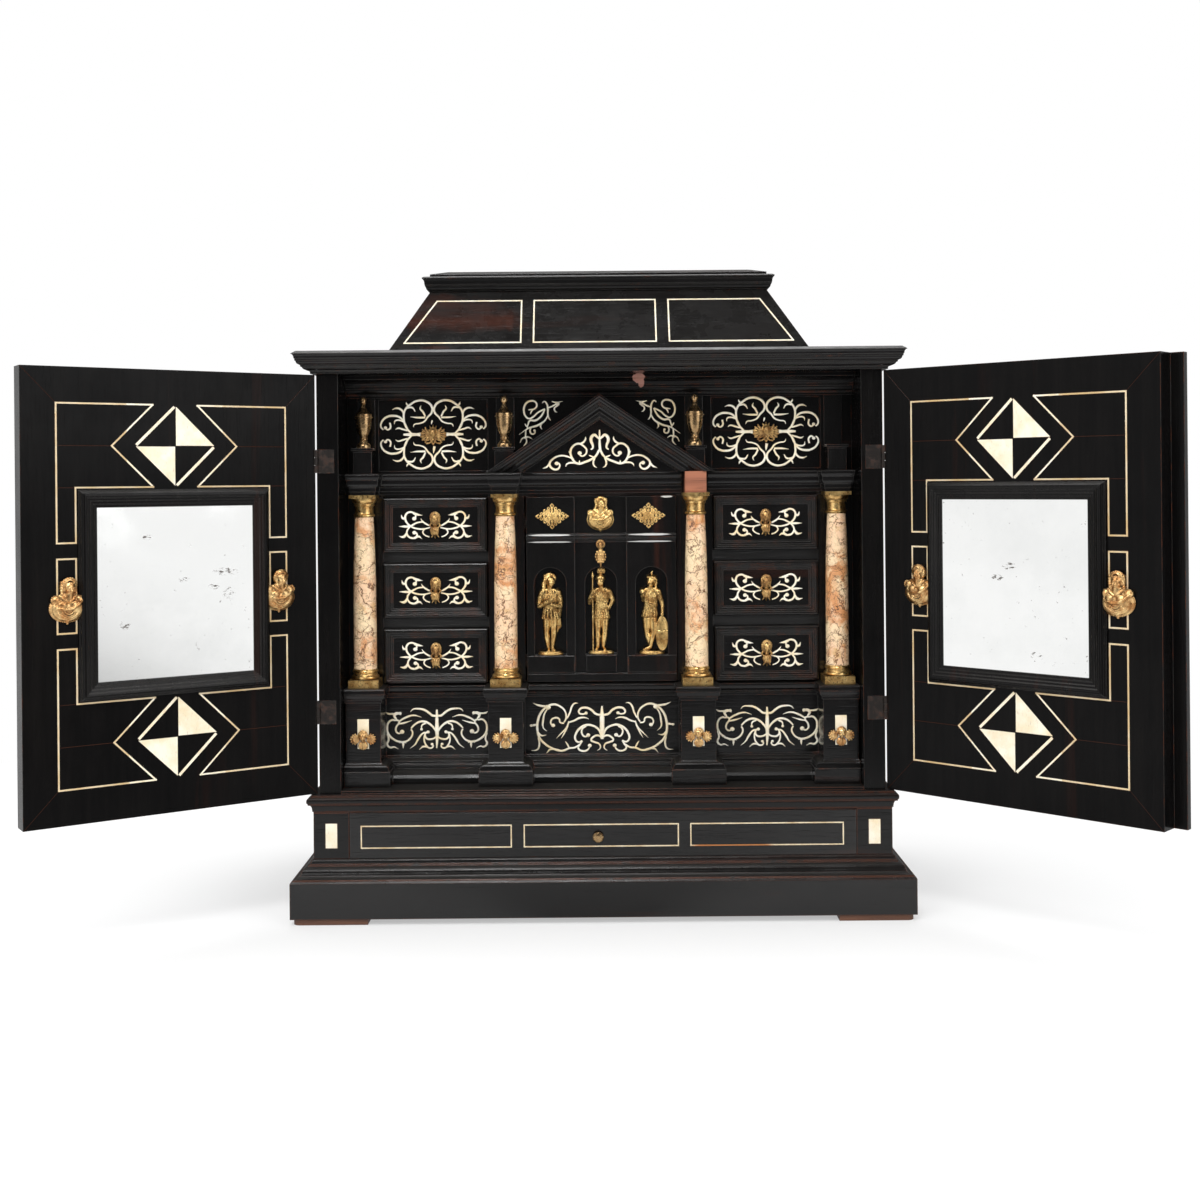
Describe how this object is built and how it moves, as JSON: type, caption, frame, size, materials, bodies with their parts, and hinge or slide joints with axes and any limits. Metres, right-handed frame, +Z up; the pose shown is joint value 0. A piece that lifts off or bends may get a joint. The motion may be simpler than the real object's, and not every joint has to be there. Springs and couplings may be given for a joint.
{
  "type": "table cabinet",
  "caption": "Ebonised table cabinet with mirrored doors, an inner front of marble columns, pediment, niche door and drawers, bone inlay and gilt mounts, standing open.",
  "frame": {"origin": "middle of the space that the open cabinet takes, at the underside of its feet", "axes": "+X to the viewer's right along the front, +Y to the back, +Z up"},
  "size_m": [1.0462, 0.4859, 0.656],
  "materials": {
    "ebonised_wood": "satin black stain and wax, worn to brown-red on the edges",
    "inner_wood": "plain, unpolished",
    "foot_wood": "brown stain",
    "bare_wood": "bare, chipped",
    "bone": "polished bone, yellowed",
    "gilt_bronze": "old gilding, dulled",
    "veined_marble": "polished pink and cream marble with dark veins",
    "dark_iron": "dull, rusted a little",
    "mirror_glass": "old mirror with foxed edges"
  },
  "bodies": {
    "case": {"feet": "foot_wood", "plinth": "ebonised_wood", "waist": "ebonised_wood", "surbase": "ebonised_wood", "left_side": "ebonised_wood", "right_side": "ebonised_wood", "back_board": "inner_wood", "cornice": "ebonised_wood", "roof_boards": "ebonised_wood", "roof_cap": "ebonised_wood", "case_inlay": "bone", "inner_cornice": "ebonised_wood", "interior_boards": "inner_wood", "facade_piers": "ebonised_wood", "urn_pedestals": "ebonised_wood", "attic_front": "ebonised_wood", "pediment": "ebonised_wood", "entablature": "ebonised_wood", "bare_block": "bare_wood", "urns": "gilt_bronze", "column_shafts": "veined_marble", "column_mounts": "gilt_bronze", "case_hinges": "dark_iron"},
    "left_door": {"left_door_leaf": "ebonised_wood", "left_mirror_frame": "ebonised_wood", "left_mirror": "mirror_glass", "left_door_inlay": "bone", "left_door_busts": "gilt_bronze", "left_door_hinges": "dark_iron"},
    "right_door": {"right_door_leaf": "ebonised_wood", "right_mirror_frame": "ebonised_wood", "right_mirror": "mirror_glass", "right_door_inlay": "bone", "right_door_busts": "gilt_bronze", "right_door_hinges": "dark_iron"},
    "niche_door_leaf": {"niche_door": "ebonised_wood", "niche_figures": "gilt_bronze", "niche_mounts": "gilt_bronze"},
    "small_drawer_left_low": {"drawer_left_low": "ebonised_wood", "pull_left_low": "gilt_bronze"},
    "small_drawer_left_middle": {"drawer_left_middle": "ebonised_wood", "pull_left_middle": "gilt_bronze"},
    "small_drawer_left_high": {"drawer_left_high": "ebonised_wood", "pull_left_high": "gilt_bronze"},
    "small_drawer_right_low": {"drawer_right_low": "ebonised_wood", "pull_right_low": "gilt_bronze"},
    "small_drawer_right_middle": {"drawer_right_middle": "ebonised_wood", "pull_right_middle": "gilt_bronze"},
    "small_drawer_right_high": {"drawer_right_high": "ebonised_wood", "pull_right_high": "gilt_bronze"},
    "top_drawer_left": {"attic_drawer_left": "ebonised_wood", "attic_mount_left": "gilt_bronze"},
    "top_drawer_right": {"attic_drawer_right": "ebonised_wood", "attic_mount_right": "gilt_bronze"},
    "long_frieze_drawer": {"frieze_drawer": "ebonised_wood", "frieze_plaques": "bone", "frieze_mounts": "gilt_bronze"},
    "long_base_drawer": {"base_drawer": "ebonised_wood", "base_drawer_inlay": "bone", "base_drawer_knob": "gilt_bronze"}
  },
  "joints": [
    {"name": "left_door_hinge", "type": "hinge", "parent": "case", "child": "left_door", "pos_m": [-0.27639, -0.04731, 0.3344], "axis": [0, 0, -1], "range_deg": [-146.3, 21]},
    {"name": "right_door_hinge", "type": "hinge", "parent": "case", "child": "right_door", "pos_m": [0.29101, -0.04731, 0.3344], "axis": [0, 0, 1], "range_deg": [-136.2, 31]},
    {"name": "niche_door_hinge", "type": "hinge", "parent": "case", "child": "niche_door_leaf", "pos_m": [-0.07064, 0.00834, 0.3213], "axis": [0, 0, -1], "range_deg": [0, 80]},
    {"name": "small_drawer_left_low_slide", "type": "slide", "parent": "case", "child": "small_drawer_left_low", "axis": [0, -1, 0], "range_m": [0, 0.15]},
    {"name": "small_drawer_left_middle_slide", "type": "slide", "parent": "case", "child": "small_drawer_left_middle", "axis": [0, -1, 0], "range_m": [0, 0.15]},
    {"name": "small_drawer_left_high_slide", "type": "slide", "parent": "case", "child": "small_drawer_left_high", "axis": [0, -1, 0], "range_m": [0, 0.15]},
    {"name": "small_drawer_right_low_slide", "type": "slide", "parent": "case", "child": "small_drawer_right_low", "axis": [0, -1, 0], "range_m": [0, 0.15]},
    {"name": "small_drawer_right_middle_slide", "type": "slide", "parent": "case", "child": "small_drawer_right_middle", "axis": [0, -1, 0], "range_m": [0, 0.15]},
    {"name": "small_drawer_right_high_slide", "type": "slide", "parent": "case", "child": "small_drawer_right_high", "axis": [0, -1, 0], "range_m": [0, 0.15]},
    {"name": "top_drawer_left_slide", "type": "slide", "parent": "case", "child": "top_drawer_left", "axis": [0, -1, 0], "range_m": [0, 0.15]},
    {"name": "top_drawer_right_slide", "type": "slide", "parent": "case", "child": "top_drawer_right", "axis": [0, -1, 0], "range_m": [0, 0.15]},
    {"name": "long_frieze_drawer_slide", "type": "slide", "parent": "case", "child": "long_frieze_drawer", "axis": [0, -1, 0], "range_m": [0, 0.16]},
    {"name": "long_base_drawer_slide", "type": "slide", "parent": "case", "child": "long_base_drawer", "axis": [0, -1, 0], "range_m": [0, 0.18]}
  ]
}
